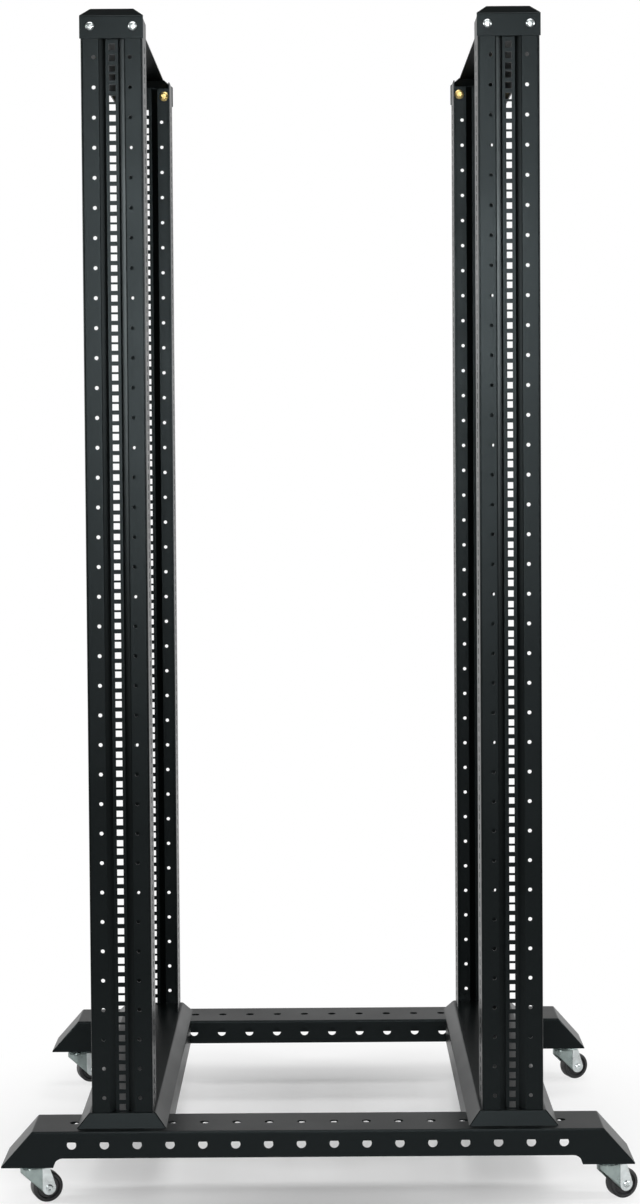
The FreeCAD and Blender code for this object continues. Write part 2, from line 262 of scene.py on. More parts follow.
def bend_line(corners, radius, steps):
    """Middle line of a folded sheet in a plane.

    The straight runs between the corners meet in arcs: each inner corner is cut back by
    radius * tan(half the turn) and the arc swings through the turn about its own centre.
    """
    corners = np.asarray(corners, float)
    runs = np.diff(corners, axis=0)
    runs /= np.linalg.norm(runs, axis=1, keepdims=True)
    before, after = runs[:-1], runs[1:]
    turn = np.arctan2(before[:, 0] * after[:, 1] - before[:, 1] * after[:, 0],
                      (before * after).sum(axis=1))
    start = corners[1:-1] - before * (radius * np.tan(np.abs(turn) / 2))[:, None]
    left = np.stack([-before[:, 1], before[:, 0]], axis=1) * np.sign(turn)[:, None]
    swing = np.linspace(0, 1, steps + 1)[None, :, None] * np.abs(turn)[:, None, None]
    offsets = np.sin(swing) * before[:, None] + (1 - np.cos(swing)) * left[:, None]
    arcs = start[:, None] + radius * offsets
    return np.concatenate([corners[:1], arcs.reshape(-1, 2), corners[-1:]])


def square_loop(side):
    """Corners of a square hole in its own plane, counted round from the low left."""
    return np.array([[-1, -1], [1, -1], [1, 1], [-1, 1]]) * (side / 2)


def round_loop(diameter, count):
    """Points of a round hole in its own plane, counted round from the low left."""
    angle = (np.arange(count) / count - 0.375) * FULL_TURN
    return np.stack([np.cos(angle), np.sin(angle)], axis=1) * (diameter / 2)


def hole_rims(centres, across, along, loop):
    """Loops of like holes: every centre plus the loop's two coordinates along two directions."""
    return centres[:, None] + loop[:, :1] * across + loop[:, 1:] * along


def punched_sheet(corners, punches):
    """Sheet over a grid of corner points (rows, columns, 3), with holes in some cells.

    A plain cell is one quad. In a punched cell each side of the cell is joined to the quarter of
    the hole's loop that faces it, so the cell's own corners stay shared with its neighbours.
    """
    rows, columns = corners.shape[:2]
    cells = grid_cells(rows, columns)
    plain = np.ones(cells.shape[:2], bool)
    points = [corners.reshape(-1, 3)]
    faces = []
    used = rows * columns
    for cell_rows, cell_columns, rims in punches:
        plain[cell_rows, cell_columns] = False
        frame_corners = cells[cell_rows, cell_columns]
        count, size = rims.shape[:2]
        rim = used + np.arange(count * size).reshape(count, size)
        used += count * size
        points.append(rims.reshape(-1, 3))
        for side in range(4):
            facing = np.arange((side + 1) * size // 4, side * size // 4 - 1, -1) % size
            edge = frame_corners[:, [side, (side + 1) % 4]]
            faces.append(np.concatenate([edge, rim[:, facing]], axis=1))
    faces.append(cells[plain])
    return np.concatenate(points), faces


def turned(profile, segments):
    """Surface about Z: each (radius, height) of a profile goes round in equal steps."""
    profile = np.asarray(profile, float)
    angle = np.arange(segments) / segments * FULL_TURN
    ring = np.stack([np.cos(angle), np.sin(angle)], axis=1)
    flat = profile[:, :1, None] * ring[None]
    height = np.broadcast_to(profile[:, 1:, None], flat.shape[:2] + (1,))
    points = np.concatenate([flat, height], axis=2).reshape(-1, 3)
    return weld(points, [grid_cells(len(profile), segments, closed=True).reshape(-1, 4)])


def stacked(loops):
    """Closed solid through a stack of like loops (levels, points, 3), flat at both ends."""
    levels, count = loops.shape[:2]
    cells = grid_cells(levels, count, closed=True).reshape(-1, 4)
    bottom = np.arange(count)[None, ::-1]
    top = np.arange(count)[None] + (levels - 1) * count
    return loops.reshape(-1, 3), [cells, bottom, top]


def rounded_outline(width, depth, radius, steps):
    """Rectangle with quarter-circle corners, anticlockwise."""
    reach = np.array([width, depth]) / 2 - radius
    middle = np.array([[1, 1], [-1, 1], [-1, -1], [1, -1]]) * reach
    angle = (np.arange(4)[:, None] + np.linspace(0, 1, steps + 1)) * (FULL_TURN / 4)
    arc = np.stack([np.cos(angle), np.sin(angle)], axis=2) * radius
    return (middle[:, None] + arc).reshape(-1, 2)


def bevelled_plate(width, depth, radius, bottom, top, edge):
    """Flat plate with rounded corners, whose rim is bevelled above and below."""
    levels = [(edge, bottom), (0, bottom + edge), (0, top - edge), (edge, top)]
    rings = []
    for inset, height in levels:
        outline = rounded_outline(width - 2 * inset, depth - 2 * inset, radius - inset,
                                  CORNER_STEPS)
        rings.append(np.column_stack([outline, np.full(len(outline), height)]))
    return stacked(np.stack(rings))


# Pieces


def add_piece(name, part, finish, body, replaced=(), sheet=0.0, lean=0.0,
              smooth_angle=None):
    """Object from mesh arrays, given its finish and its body.

    A sheet thickness goes on both sides of the surface at lean 0, and inside it at lean -1.
    """
    points, faces = weld(*part)
    mesh = bpy.data.meshes.new(name)
    sizes = np.concatenate([np.full(len(block), block.shape[1]) for block in faces])
    corners = np.concatenate([block.ravel() for block in faces])
    starts = np.concatenate([[0], np.cumsum(sizes)[:-1]])
    mesh.vertices.add(len(points))
    mesh.loops.add(len(corners))
    mesh.polygons.add(len(sizes))
    mesh.vertices.foreach_set("co", points.astype(np.float32).ravel())
    mesh.loops.foreach_set("vertex_index", corners.astype(np.int32))
    mesh.polygons.foreach_set("loop_start", starts.astype(np.int32))
    mesh.update(calc_edges=True)
    if mesh.validate():
        raise RuntimeError(name + " has faces that are not valid")
    if smooth_angle is None:
        mesh.shade_flat()
    else:
        mesh.shade_smooth()
        mesh.set_sharp_from_angle(angle=math.radians(smooth_angle))
    mesh.materials.append(bpy.data.materials[finish])
    piece = bpy.data.objects.new(name, mesh)
    bpy.context.scene.collection.objects.link(piece)
    if sheet:
        wall = piece.modifiers.new("Sheet", "SOLIDIFY")
        wall.thickness = sheet
        wall.offset = lean
        wall.use_even_offset = True
        wall.use_quality_normals = True
    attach(piece, body)
    if replaced:
        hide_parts(*replaced)


def post_part(post, width, depth, height):
    """Sheet of one post, face on y = 0, open towards +Y, foot on z = 0.

    The section's middle line is folded along the six bends and carried up in three rows to each
    rack unit. The groove's floor and both side walls are punched square in every row, and the
    strips are punched round in the middle row of every unit.
    """
    face = post.sheet / 2
    side = width / 2 - face
    half = np.array([[side, depth], [side, face], [post.mouth / 2, face],
                     [post.floor / 2, post.groove + face]])
    mirror = np.array([-1, 1])
    line = bend_line(np.concatenate([half, half[::-1] * mirror]), post.bend + face, BEND_STEPS)
    band_edges = post.wall_holes + np.array([0.5, -0.5]) * post.wall_band
    band = np.stack([np.full(2, side), band_edges], axis=1)
    line = np.concatenate([line[:1], band, line[1:-1], band[::-1] * mirror, line[-1:]])
    # Columns of cells: the wall with its band, then each bend and the run after it
    wall_column = 1
    strip_column = 3 + BEND_STEPS
    web_column = 5 + 3 * BEND_STEPS
    last_column = len(line) - 2

    units = int(height / post.unit)
    row_edges = (post.unit + np.array([-post.unit, -post.square_step, post.square_step])) / 2
    levels = (np.arange(units)[:, None] * post.unit + row_edges).ravel()
    levels = np.concatenate([levels, [units * post.unit, height]])
    corners = np.empty((len(levels), len(line), 3))
    corners[:, :, :2] = line
    corners[:, :, 2] = levels[:, None]

    middles = (np.arange(units) + 0.5) * post.unit
    square_heights = (middles[:, None] + np.array([-1, 0, 1]) * post.square_step).ravel()
    squares = (np.arange(3 * units), square_heights, square_loop(post.square))
    rounds = (3 * np.arange(units) + 1, middles, round_loop(post.round_hole, STRIP_HOLE_POINTS))

    def column_punch(column, x, y, holes):
        """Holes of one column of cells, at one place in the section."""
        rows, heights, loop = holes
        run = line[column + 1] - line[column]
        across = np.append(run / np.linalg.norm(run), 0)
        centres = np.column_stack([np.tile([x, y], (len(heights), 1)), heights])
        return rows, np.full(len(rows), column), hole_rims(centres, across, UP, loop)

    strip_x = post.round_spread / 2
    return punched_sheet(corners, [
        column_punch(wall_column, side, post.wall_holes, squares),
        column_punch(strip_column, strip_x, face, rounds),
        column_punch(web_column, 0, post.groove + face, squares),
        column_punch(last_column - strip_column, -strip_x, face, rounds),
        column_punch(last_column - wall_column, -side, post.wall_holes, squares),
    ])


class RACK_OT_posts(bpy.types.Operator):
    """Fold and punch the four posts"""
    bl_idname = "rack.posts"
    bl_label = "Posts"

    def execute(self, context):
        post = context.scene.rack_posts
        for end, side in CORNERS:
            corner = end + "_" + side
            node = corner + "_post"
            low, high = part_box(node)
            part = post_part(post, high.x - low.x, high.y - low.y, high.z - low.z)
            inward = -ENDS[end]
            foot = [(low.x + high.x) / 2, low.y if end == "front" else high.y, low.z]
            part = turned_to(part, RIGHT * inward, BACK * inward, foot)
            add_piece(corner + "_punched_post", part, "Powder coat", "frame",
                      [node], post.sheet)
        return {"FINISHED"}


def beam_part(base, low, high, bend):
    """Outer skin of one floor beam.

    At each station along X the section climbs the front wall, turns over a quarter-circle bend to
    the top and comes down the rear wall. The top follows the level line and the sloping ends, and
    the foot of the wall follows the quarter rounds of the legs.
    """
    tip_height, crest_bend = 2 * MM, 4 * MM
    tip = (high.x - low.x) / 2
    knee = tip - base.leg - base.leg_drop
    crest = bend_line([[0, high.z], [tip - base.beam_slope, high.z], [tip, low.z + tip_height]],
                      crest_bend, FOLD_STEPS)
    cell_edges = np.arange(0, base.beam_holes / 2) * base.beam_pitch
    swing = np.linspace(0, FULL_TURN / 4, QUARTER_POINTS)
    leg_edges = knee + base.leg_drop * np.sin(swing)
    half = np.unique(np.round(np.concatenate([cell_edges, leg_edges, crest[1:, 0]]), decimals=7))
    stations = np.concatenate([half[::-1], -half[1:]])
    reach = np.abs(stations)
    top = np.interp(reach, crest[:, 0], crest[:, 1])
    into_leg = np.clip(reach - knee, 0, base.leg_drop)
    foot = low.z + np.sqrt(base.leg_drop ** 2 - into_leg ** 2)
    radius = np.minimum(bend, (top - foot) / 2)[:, None]

    around = np.linspace(0, FULL_TURN / 4, BEND_STEPS + 1)
    half_width = (high.y - low.y) / 2
    middle = (low.y + high.y) / 2
    bend_y = radius * (1 - np.cos(around)) - half_width
    bend_z = top[:, None] - radius * (1 - np.sin(around))
    wall_y = np.full((len(stations), 1), -half_width)
    front = np.stack([np.hstack([wall_y, bend_y]), np.hstack([foot[:, None], bend_z])], axis=2)
    rear = front[:, ::-1] * np.array([-1, 1])
    rear[:, -1, 1] = np.minimum(rear[:, -1, 1], high.z - base.beam_rear_wall)
    section = np.concatenate([front, rear], axis=1)
    corners = np.empty(section.shape[:2] + (3,))
    corners[:, :, 0] = stations[:, None]
    corners[:, :, 1:] = section + np.array([middle, 0])

    places = (np.arange(base.beam_holes) - (base.beam_holes - 1) / 2) * base.beam_pitch
    rows = np.searchsorted(-stations, -places) - 1
    circle = round_loop(base.beam_hole, BEAM_HOLE_POINTS)
    wall_middle = high.z - base.beam_wall / 2

    def row_punch(column, y, z, across):
        """Holes of one row of the beam."""
        centres = np.column_stack([places, np.tile([y, z], (len(places), 1))])
        return rows, np.full(len(rows), column), hole_rims(centres, across, -RIGHT, circle)

    return punched_sheet(corners, [
        row_punch(0, low.y, wall_middle, UP),
        row_punch(1 + BEND_STEPS, middle, high.z, BACK),
        row_punch(section.shape[1] - 2, high.y, wall_middle, -UP),
    ])


def flange_part(base, low, high, sheet, sign):
    """Plate that closes the foot of one leg of a beam."""
    corner, edge = MM, 0.3 * MM
    points, faces = bevelled_plate(base.leg - sheet, high.y - low.y - 2 * sheet, corner,
                                   low.z, low.z + sheet, edge)
    reach = (high.x - low.x - base.leg - sheet) / 2
    return points + np.array([sign * reach, (low.y + high.y) / 2, 0]), faces


class RACK_OT_beams(bpy.types.Operator):
    """Fold and punch the two floor beams"""
    bl_idname = "rack.beams"
    bl_label = "Floor beams"

    def execute(self, context):
        base = context.scene.rack_base
        post = context.scene.rack_posts
        for end in ENDS:
            node = end + "_beam"
            low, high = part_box(node)
            skin = beam_part(base, low, high, post.bend + post.sheet)
            add_piece(end + "_floor_beam", skin, "Powder coat", "frame",
                      [node], post.sheet, -1)
            flanges = [flange_part(base, low, high, post.sheet, sign) for sign in (-1, 1)]
            add_piece(end + "_beam_flanges", join(*flanges), "Powder coat", "frame")
        return {"FINISHED"}


def side_strip(line, edges, turn):
    """Corners and sheet of one folded side of a plate.

    The profile is given as (outward, height) and the edges as the two ends along the side for each
    of the profile's points. The turn counts quarter turns of the outward direction from the front.
    """
    outward = [-BACK, RIGHT, BACK, -RIGHT][turn]
    along = np.cross(UP, outward)
    across = line[:, :1] * outward + line[:, 1:] * UP
    corners = edges[:, :, None] * along + across[:, None]
    cells = grid_cells(*corners.shape[:2])[..., ::-1]
    return corners, (corners.reshape(-1, 3), [cells.reshape(-1, 4)])


def lipped_side(line, lip_line, ends, lip_half, turn):
    """Upper edge and sheets of one side whose middle stretch goes on into a lip.

    The two outer stretches follow the plain profile, and the one between them the lip's profile.
    """
    inner = np.full(len(line), lip_half)
    near, near_sheet = side_strip(line, np.stack([-ends, -inner], axis=1), turn)
    far, far_sheet = side_strip(line, np.stack([inner, ends], axis=1), turn)
    lip_edges = np.tile([-lip_half, lip_half], (len(lip_line), 1))
    lip_sheet = side_strip(lip_line, lip_edges, turn)[1]
    return np.concatenate([near[0], far[0]]), [near_sheet, far_sheet, lip_sheet]


def closed_top(edges, sheets, centre):
    """Folded sides, joined to the flat top that their upper edges go round, about a centre."""
    loop = np.concatenate(edges)
    points, faces = join(*sheets, (loop, [np.arange(len(loop))[None]]))
    return points + np.array(centre), faces


def tray_part(base, low, high, lip_half, bend):
    """Outer skin of one base tray.

    Each side is a strip that leaves the flat top over a bend and runs down the skirt, and whose
    ends follow the mitre line, half a slit away from it. Between the beams the long sides go on
    over a second bend into the hanging lip.
    """
    skirt_foot = high.z - base.tray_rise
    top_x = (high.x - low.x) / 2 - base.tray_run
    top_y = (high.y - low.y) / 2 - base.tray_run
    half_slit = base.mitre * math.sqrt(0.5)

    def side_line(reach, foot):
        """Profile of one side as (outward, height), from the top's rim down to a foot."""
        skirt_x = reach + base.tray_run
        corners = [[reach - TOP_RIM, high.z], [reach, high.z], [skirt_x, skirt_foot]]
        if foot < skirt_foot:
            corners.append([skirt_x, foot])
        return bend_line(corners, bend, FOLD_STEPS)

    edges, sheets = [], []
    for turn, (reach, along_half) in enumerate([(top_y, top_x), (top_x, top_y)] * 2):
        line = side_line(reach, skirt_foot)
        ends = along_half + line[:, 0] - reach - half_slit
        if turn % 2:
            edge, pieces = lipped_side(line, side_line(reach, low.z), ends, lip_half, turn)
        else:
            corners, sheet = side_strip(line, np.stack([-ends, ends], axis=1), turn)
            edge, pieces = corners[0], [sheet]
        edges.append(edge)
        sheets += pieces
    return closed_top(edges, sheets, [(low.x + high.x) / 2, (low.y + high.y) / 2, 0])


class RACK_OT_trays(bpy.types.Operator):
    """Fold the two base trays"""
    bl_idname = "rack.trays"
    bl_label = "Base trays"

    def execute(self, context):
        base = context.scene.rack_base
        post = context.scene.rack_posts
        lip_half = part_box("rear_beam")[0].y - LIP_GAP
        for side in SIDES:
            node = side + "_base_tray"
            low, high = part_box(node)
            part = tray_part(base, low, high, lip_half, post.bend + post.sheet)
            add_piece(side + "_folded_tray", part, "Powder coat", "frame",
                      [node], post.sheet, -1)
        return {"FINISHED"}


def strap_part(base, low, high, side, post, bend):
    """Outer skin of one top strap.

    The level top is bounded by the bends of three folded sides. The two ends slope down to the
    plates on the post faces and flare to full width. The outer side slopes down between the hips
    and goes on into a lip that hangs between the posts. The inner side is a plain edge.
    """
    top_y = high.y - post.sheet - base.strap_slope
    top_x = base.strap_width / 2
    post_low, post_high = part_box("front_" + side + "_post")
    outer_x = (post_high.x - post_low.x) / 2
    fold_z = post_high.z + post.sheet / 2
    plate_foot = high.z - base.strap_slope - post.sheet - base.strap_plate
    lip_half = -post_high.y - LIP_GAP
    flare = ((high.x - low.x) / 2 - top_x) / base.strap_slope

    end_line = bend_line([[top_y - TOP_RIM, high.z], [top_y, high.z], [high.y, fold_z],
                          [high.y, plate_foot]], bend, FOLD_STEPS)
    reach = np.minimum(end_line[:, 0] - top_y, base.strap_slope)
    outer_half = top_x + reach * flare
    inner_half = np.maximum(outer_half, top_x)
    edges, sheets = [], []
    for turn in (0, 2):
        outer_first = (turn == 0) == (side == "left")
        ends = [-outer_half, inner_half] if outer_first else [-inner_half, outer_half]
        corners, sheet = side_strip(end_line, np.stack(ends, axis=1), turn)
        edges.append(corners[0])
        sheets.append(sheet)

    start = [[top_x - TOP_RIM, high.z], [top_x, high.z]]
    slope_line = bend_line(start + [[outer_x, post_high.z]], bend, FOLD_STEPS)
    lip_line = bend_line(start + [[outer_x, fold_z], [outer_x, low.z]], bend, FOLD_STEPS)
    slope_ends = top_y + (slope_line[:, 0] - top_x) / flare
    turn = 2 - SIDES[side]
    edge, pieces = lipped_side(slope_line, lip_line, slope_ends, lip_half, turn)
    edges.insert(1 if turn == 1 else 2, edge)
    return closed_top(edges, sheets + pieces, [(low.x + high.x) / 2, 0, 0])


class RACK_OT_straps(bpy.types.Operator):
    """Fold the two top straps"""
    bl_idname = "rack.straps"
    bl_label = "Top straps"

    def execute(self, context):
        base = context.scene.rack_base
        post = context.scene.rack_posts
        for side in SIDES:
            node = side + "_top_strap"
            low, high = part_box(node)
            part = strap_part(base, low, high, side, post, post.bend + post.sheet)
            add_piece(side + "_folded_strap", part, "Powder coat", "frame",
                      [node], post.sheet, -1)
        return {"FINISHED"}


def screw_head_part(diameter):
    """Pan head with a cross recess, standing on z = 0.

    The head is a polar grid. Its height falls off as a fourth-power dome towards the rim, less the
    depth of two crossed slots whose walls lean inwards.
    """
    rings, segments = 18, 48
    height, recess = 0.3 * diameter, 0.17 * diameter
    arm, slot, lean = 0.27 * diameter, 0.075 * diameter, 0.03 * diameter
    share = np.linspace(0, 1, rings)
    angle = np.arange(segments) / segments * FULL_TURN
    x = np.outer(share, np.cos(angle)) * (diameter / 2)
    y = np.outer(share, np.sin(angle)) * (diameter / 2)
    dome = height * np.sqrt(np.clip(1 - share ** 4, 0, 1))[:, None]

    def slot_share(along, across):
        """One within a slot, falling to zero over its leaning walls."""
        within = np.clip((arm - np.abs(along)) / lean, 0, 1)
        return within * np.clip((slot - np.abs(across)) / lean, 0, 1)

    z = dome - recess * np.maximum(slot_share(x, y), slot_share(y, x))
    points = np.stack([x, y, z], axis=2).reshape(-1, 3)
    base = np.arange((rings - 1) * segments, rings * segments)[None, ::-1]
    return points, [grid_cells(rings, segments, closed=True).reshape(-1, 4), base]


def nut_part(width, height, bore):
    """Six-sided nut with a round flange on z = 0, chamfered corners, and the end of its screw."""
    corner = width / math.sqrt(3)
    chamfer = 0.08 * width
    rim = 0.82 * width
    thread = bore / 2
    tip, tip_chamfer = 1.4 * height, 0.5 * MM
    flange = turned([[0, 0], [rim, 0], [rim, 0.5 * chamfer], [0.9 * rim, chamfer],
                     [0.8 * corner, 2 * chamfer], [0, 2 * chamfer]], FLANGE_SEGMENTS)
    nut = turned([[0, chamfer], [corner, chamfer], [corner, height - chamfer],
                  [corner - chamfer, height], [thread, height], [0, height]], SIX_SIDES)
    end = turned([[0, 0], [thread, 0], [thread, 1.3 * height], [thread - tip_chamfer, tip],
                  [0, tip]], SCREW_SEGMENTS)
    return join(flange, nut, end)


class RACK_OT_strap_screws(bpy.types.Operator):
    """Fasten the strap ends to the posts with screws and nuts"""
    bl_idname = "rack.strap_screws"
    bl_label = "Strap screws"

    def execute(self, context):
        base = context.scene.rack_base
        sheet = context.scene.rack_posts.sheet
        for end, side in CORNERS:
            corner = end + "_" + side
            low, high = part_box(corner + "_post")
            strap_low, strap_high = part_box(side + "_top_strap")
            sign = ENDS[end]
            outside = strap_high.y if sign > 0 else strap_low.y
            inside = outside - sign * 2 * sheet
            z = high.z - base.screw_drop
            heads, nuts = [], []
            for offset in (-0.5, 0.5):
                x = (low.x + high.x) / 2 + offset * base.screw_spread
                head = screw_head_part(base.screw_head)
                heads.append(turned_to(head, RIGHT * -sign, UP, [x, outside, z]))
                nuts.append(turned_to(nut_part(*STRAP_NUT), RIGHT * sign, UP, [x, inside, z]))
            add_piece(corner + "_strap_screws", join(*heads), "Zinc plate", "frame",
                      smooth_angle=35)
            add_piece(corner + "_strap_nuts", join(*nuts), "Yellow zinc", "frame")
        return {"FINISHED"}


def caster_places():
    """Swivel axis on the ground, wheel centre and trailing direction of each caster."""
    joints = {joint["name"]: joint for joint in frame["joints"]}
    places = {}
    for end, side in CORNERS:
        corner = end + "_" + side
        swivel = np.array(joints[corner + "_caster_swivel"]["pos_m"], float)
        wheel = np.array(joints[corner + "_wheel_roll"]["pos_m"], float)
        trail = (wheel - swivel) * np.array([1, 1, 0])
        places[corner] = (swivel * np.array([1, 1, 0]), wheel, trail / np.linalg.norm(trail))
    return places


def plate_part(caster, low, high):
    """Fixed plate of one caster about its swivel axis, with ball race, kingpin, nut and bolts.

    The plate is bevelled. Race, pin and nut are profiles turned about the axis.
    """
    plate_edge, clearance = 0.4 * MM, 0.2 * MM
    race_shoulder, race_drop = 2 * MM, 1.2 * MM
    pin_radius, pin_reach = 4 * MM, 0.5 * MM
    nut_corner, nut_overlap, bolt_head = 7 * MM, 0.3 * MM, 9.5 * MM
    bottom = high.z - caster.plate_sheet
    plate = bevelled_plate(high.x - low.x, high.y - low.y, caster.plate_corner, bottom, high.z,
                           plate_edge)
    rim = caster.race / 2
    gap = caster.fork_top + clearance
    race = turned([[0, bottom], [rim - race_shoulder, bottom], [rim, bottom - race_drop],
                   [rim, gap + MM], [rim - MM, gap], [0, gap]], RACE_SEGMENTS)
    crown_foot = caster.fork_top - caster.fork_sheet
    pin = turned([[0, gap], [pin_radius, gap], [pin_radius, crown_foot], [0, crown_foot]],
                 PIN_SEGMENTS)
    nut_top = crown_foot - nut_overlap
    pin_end = low.z + pin_reach
    nut = turned([[0, nut_top], [nut_corner, nut_top], [nut_corner, pin_end + MM],
                  [nut_corner - MM, pin_end], [0, pin_end]], SIX_SIDES)
    bolts = []
    for x in (-0.5, 0.5):
        for y in (-0.5, 0.5):
            spot = np.array([x, y, 0]) * caster.bolt_spread + UP * bottom
            bolts.append(turned_to(screw_head_part(bolt_head), RIGHT, -BACK, spot))
    return join(plate, race, pin, nut, *bolts)


class RACK_OT_caster_plates(bpy.types.Operator):
    """Make the fixed plates with their ball races and bolts"""
    bl_idname = "rack.caster_plates"
    bl_label = "Caster plates"

    def execute(self, context):
        caster = context.scene.rack_casters
        for corner, (swivel, _, _) in caster_places().items():
            node = corner + "_caster_plate"
            low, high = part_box(node)
            part = turned_to(plate_part(caster, low, high), RIGHT, BACK, swivel)
            add_piece(corner + "_plate_and_race", part, "Zinc plate", "frame",
                      [node], smooth_angle=30)
        return {"FINISHED"}


def toe_heading(caster, trail, axle_height, start, side):
    """Angle at the axle of the point where a line from a start touches the toe's circle."""
    away = np.array(start) - np.array([trail, axle_height])
    turn = math.acos(caster.toe / np.linalg.norm(away))
    return math.atan2(away[1], away[0]) + side * turn


def fork_part(caster, trail, axle_height):
    """Middle surface of one pressed fork, in the caster's own axes: X trails, Z is the swivel axis.

    In plan the wall runs along one leg, round the leading half circle and back along the other
    leg. Seen from the side it lies between a lower line, which goes straight from the skirt to the
    round toe, and an upper line, which is the crown's bend or the leaning back edge. The crown
    closes it above.
    """
    leg_points, lead_points, wall_rows, crown_rows = 14, 25, 7, 6
    toe_sweep = 1.45
    half = caster.fork_half - caster.fork_sheet / 2
    crown = caster.fork_top - caster.fork_sheet / 2
    bend_foot = crown - caster.fork_bend

    def touch(start, side):
        """Point where a line from start touches the toe's circle."""
        heading = toe_heading(caster, trail, axle_height, start, side)
        return (trail + caster.toe * math.cos(heading),
                axle_height + caster.toe * math.sin(heading))

    lead = (-caster.fork_half, caster.fork_top - caster.fork_skirt)
    back = (caster.fork_back, caster.fork_top)
    low_touch = touch(lead, 1)
    back_touch = touch(back, -1)

    def toe_rise(x):
        """Height of the toe's circle above the axle."""
        return np.sqrt(np.clip(caster.toe ** 2 - (x - trail) ** 2, 0, None))

    def lower(x):
        """Height of the lower edge: straight to the toe, then the toe's circle."""
        line = np.interp(x, [lead[0], low_touch[0]], [lead[1], low_touch[1]])
        return np.where(x < low_touch[0], line, axle_height - toe_rise(x))

    def upper(x):
        """Height of the upper edge: the crown's bend, the back edge, then the toe's circle."""
        line = np.interp(x, [back[0], back_touch[0]], [back[1], back_touch[1]])
        edge = np.where(x < back_touch[0], line, axle_height + toe_rise(x))
        return np.minimum(bend_foot, edge)

    toe_x = trail + caster.toe * np.cos(np.linspace(0, toe_sweep, leg_points))
    toe_x = toe_x[toe_x > caster.fork_back]
    leg_x = np.linspace(caster.fork_back, 0, leg_points)
    around = np.linspace(0, math.pi, lead_points)[1:-1]
    lead_plan = np.stack([-half * np.sin(around), half * np.cos(around)], axis=1)
    leg_plan = np.stack([leg_x, np.full(len(leg_x), half)], axis=1)
    toe_plan = np.stack([toe_x, np.full(len(toe_x), half)], axis=1)
    flip = np.array([1, -1])
    crown_plan = np.concatenate([leg_plan, lead_plan, leg_plan[::-1] * flip])
    wall_plan = np.concatenate([toe_plan, crown_plan, toe_plan[::-1] * flip])

    share = np.linspace(0, 1, wall_rows)[:, None]
    low_z = lower(wall_plan[:, 0])
    high_z = np.maximum(upper(wall_plan[:, 0]), low_z)
    wall = np.empty((wall_rows, len(wall_plan), 3))
    wall[:, :, :2] = wall_plan
    wall[:, :, 2] = low_z + share * (high_z - low_z)

    spine = np.stack([np.clip(crown_plan[:, 0], 0, None), np.zeros(len(crown_plan))], axis=1)
    inward = (spine - crown_plan) / half
    swing = np.linspace(0, FULL_TURN / 4, crown_rows)[:, None, None]
    bend = crown_plan + inward * (caster.fork_bend * (1 - np.cos(swing)))
    cap = np.empty((crown_rows + 1, len(crown_plan), 3))
    cap[:-1, :, :2] = bend
    cap[:-1, :, 2] = bend_foot + caster.fork_bend * np.sin(swing[:, :, 0])
    cap[-1, :, :2] = spine
    cap[-1, :, 2] = crown
    return join(*[(sheet.reshape(-1, 3), [grid_cells(*sheet.shape[:2]).reshape(-1, 4)])
                  for sheet in (wall, cap)])


def leg_panels_part(caster, trail, axle_height):
    """Two raised flat panels on the outsides of a fork's legs, in the caster's own axes.

    Seen from the side a panel runs straight down its front fold, round the toe's circle and up the
    leaning back edge. Its rim is bevelled by making this outline smaller by an inset.
    """
    root, shoulder, edge = -0.3 * MM, 0.7 * MM, 0.5 * MM
    top = caster.fork_top - caster.fork_bend
    lean = toe_heading(caster, trail, axle_height, (caster.fork_back, caster.fork_top), -1)
    angle = np.linspace(math.pi, 2 * math.pi + lean, TOE_POINTS)
    circle = np.stack([np.cos(angle), np.sin(angle)], axis=1)
    rings = []
    for inset, height in ((0, root), (0, shoulder), (edge, caster.panel)):
        radius = caster.toe - inset
        arc = np.array([trail, axle_height]) + radius * circle
        climb = (top - inset - arc[-1, 1]) / math.cos(lean)
        front = [trail - radius, top - inset]
        back = [arc[-1, 0] - climb * math.sin(lean), top - inset]
        outline = np.concatenate([[front], arc, [back]])
        rings.append(np.insert(outline, 1, -caster.fork_half - height, axis=1))
    near = np.stack(rings)
    far = near[:, ::-1] * np.array([1, -1, 1])
    return join(stacked(near), stacked(far))


def axle_part(caster):
    """Axle bolt along Y through the wheel's middle, with a dimpled round head at both ends."""
    outside = caster.fork_half + caster.panel
    mirror = np.array([1, -1])
    head = np.array(AXLE_HEAD) * MM + np.array([0, outside])
    shank = np.array([[caster.axle / 2, outside], [caster.axle / 2, -outside]])
    profile = np.concatenate([head, shank, head[::-1] * mirror])
    return turned_to(turned(profile, FLANGE_SEGMENTS), RIGHT, -UP, [0, 0, 0])


class RACK_OT_caster_forks(bpy.types.Operator):
    """Press the four forks and put their axle bolts in"""
    bl_idname = "rack.caster_forks"
    bl_label = "Caster forks"

    def execute(self, context):
        caster = context.scene.rack_casters
        for corner, (swivel, wheel, trail) in caster_places().items():
            across = np.cross(UP, trail)
            reach = float(np.linalg.norm((wheel - swivel)[:2]))
            fork = turned_to(fork_part(caster, reach, wheel[2]), trail, across, swivel)
            # The fork gets the darkened zinc as painted shade, and its leg panels keep the bright
            # zinc
            add_piece(corner + "_pressed_fork", fork, "Dull zinc", corner + "_swivel",
                      [corner + "_caster_fork"], caster.fork_sheet, smooth_angle=30)
            panels = turned_to(leg_panels_part(caster, reach, wheel[2]), trail, across, swivel)
            add_piece(corner + "_leg_panels", panels, "Zinc plate", corner + "_swivel")
            bolt = turned_to(axle_part(caster), trail, across, wheel)
            add_piece(corner + "_axle_bolt", bolt, "Zinc plate", corner + "_swivel",
                      smooth_angle=30)
        return {"FINISHED"}


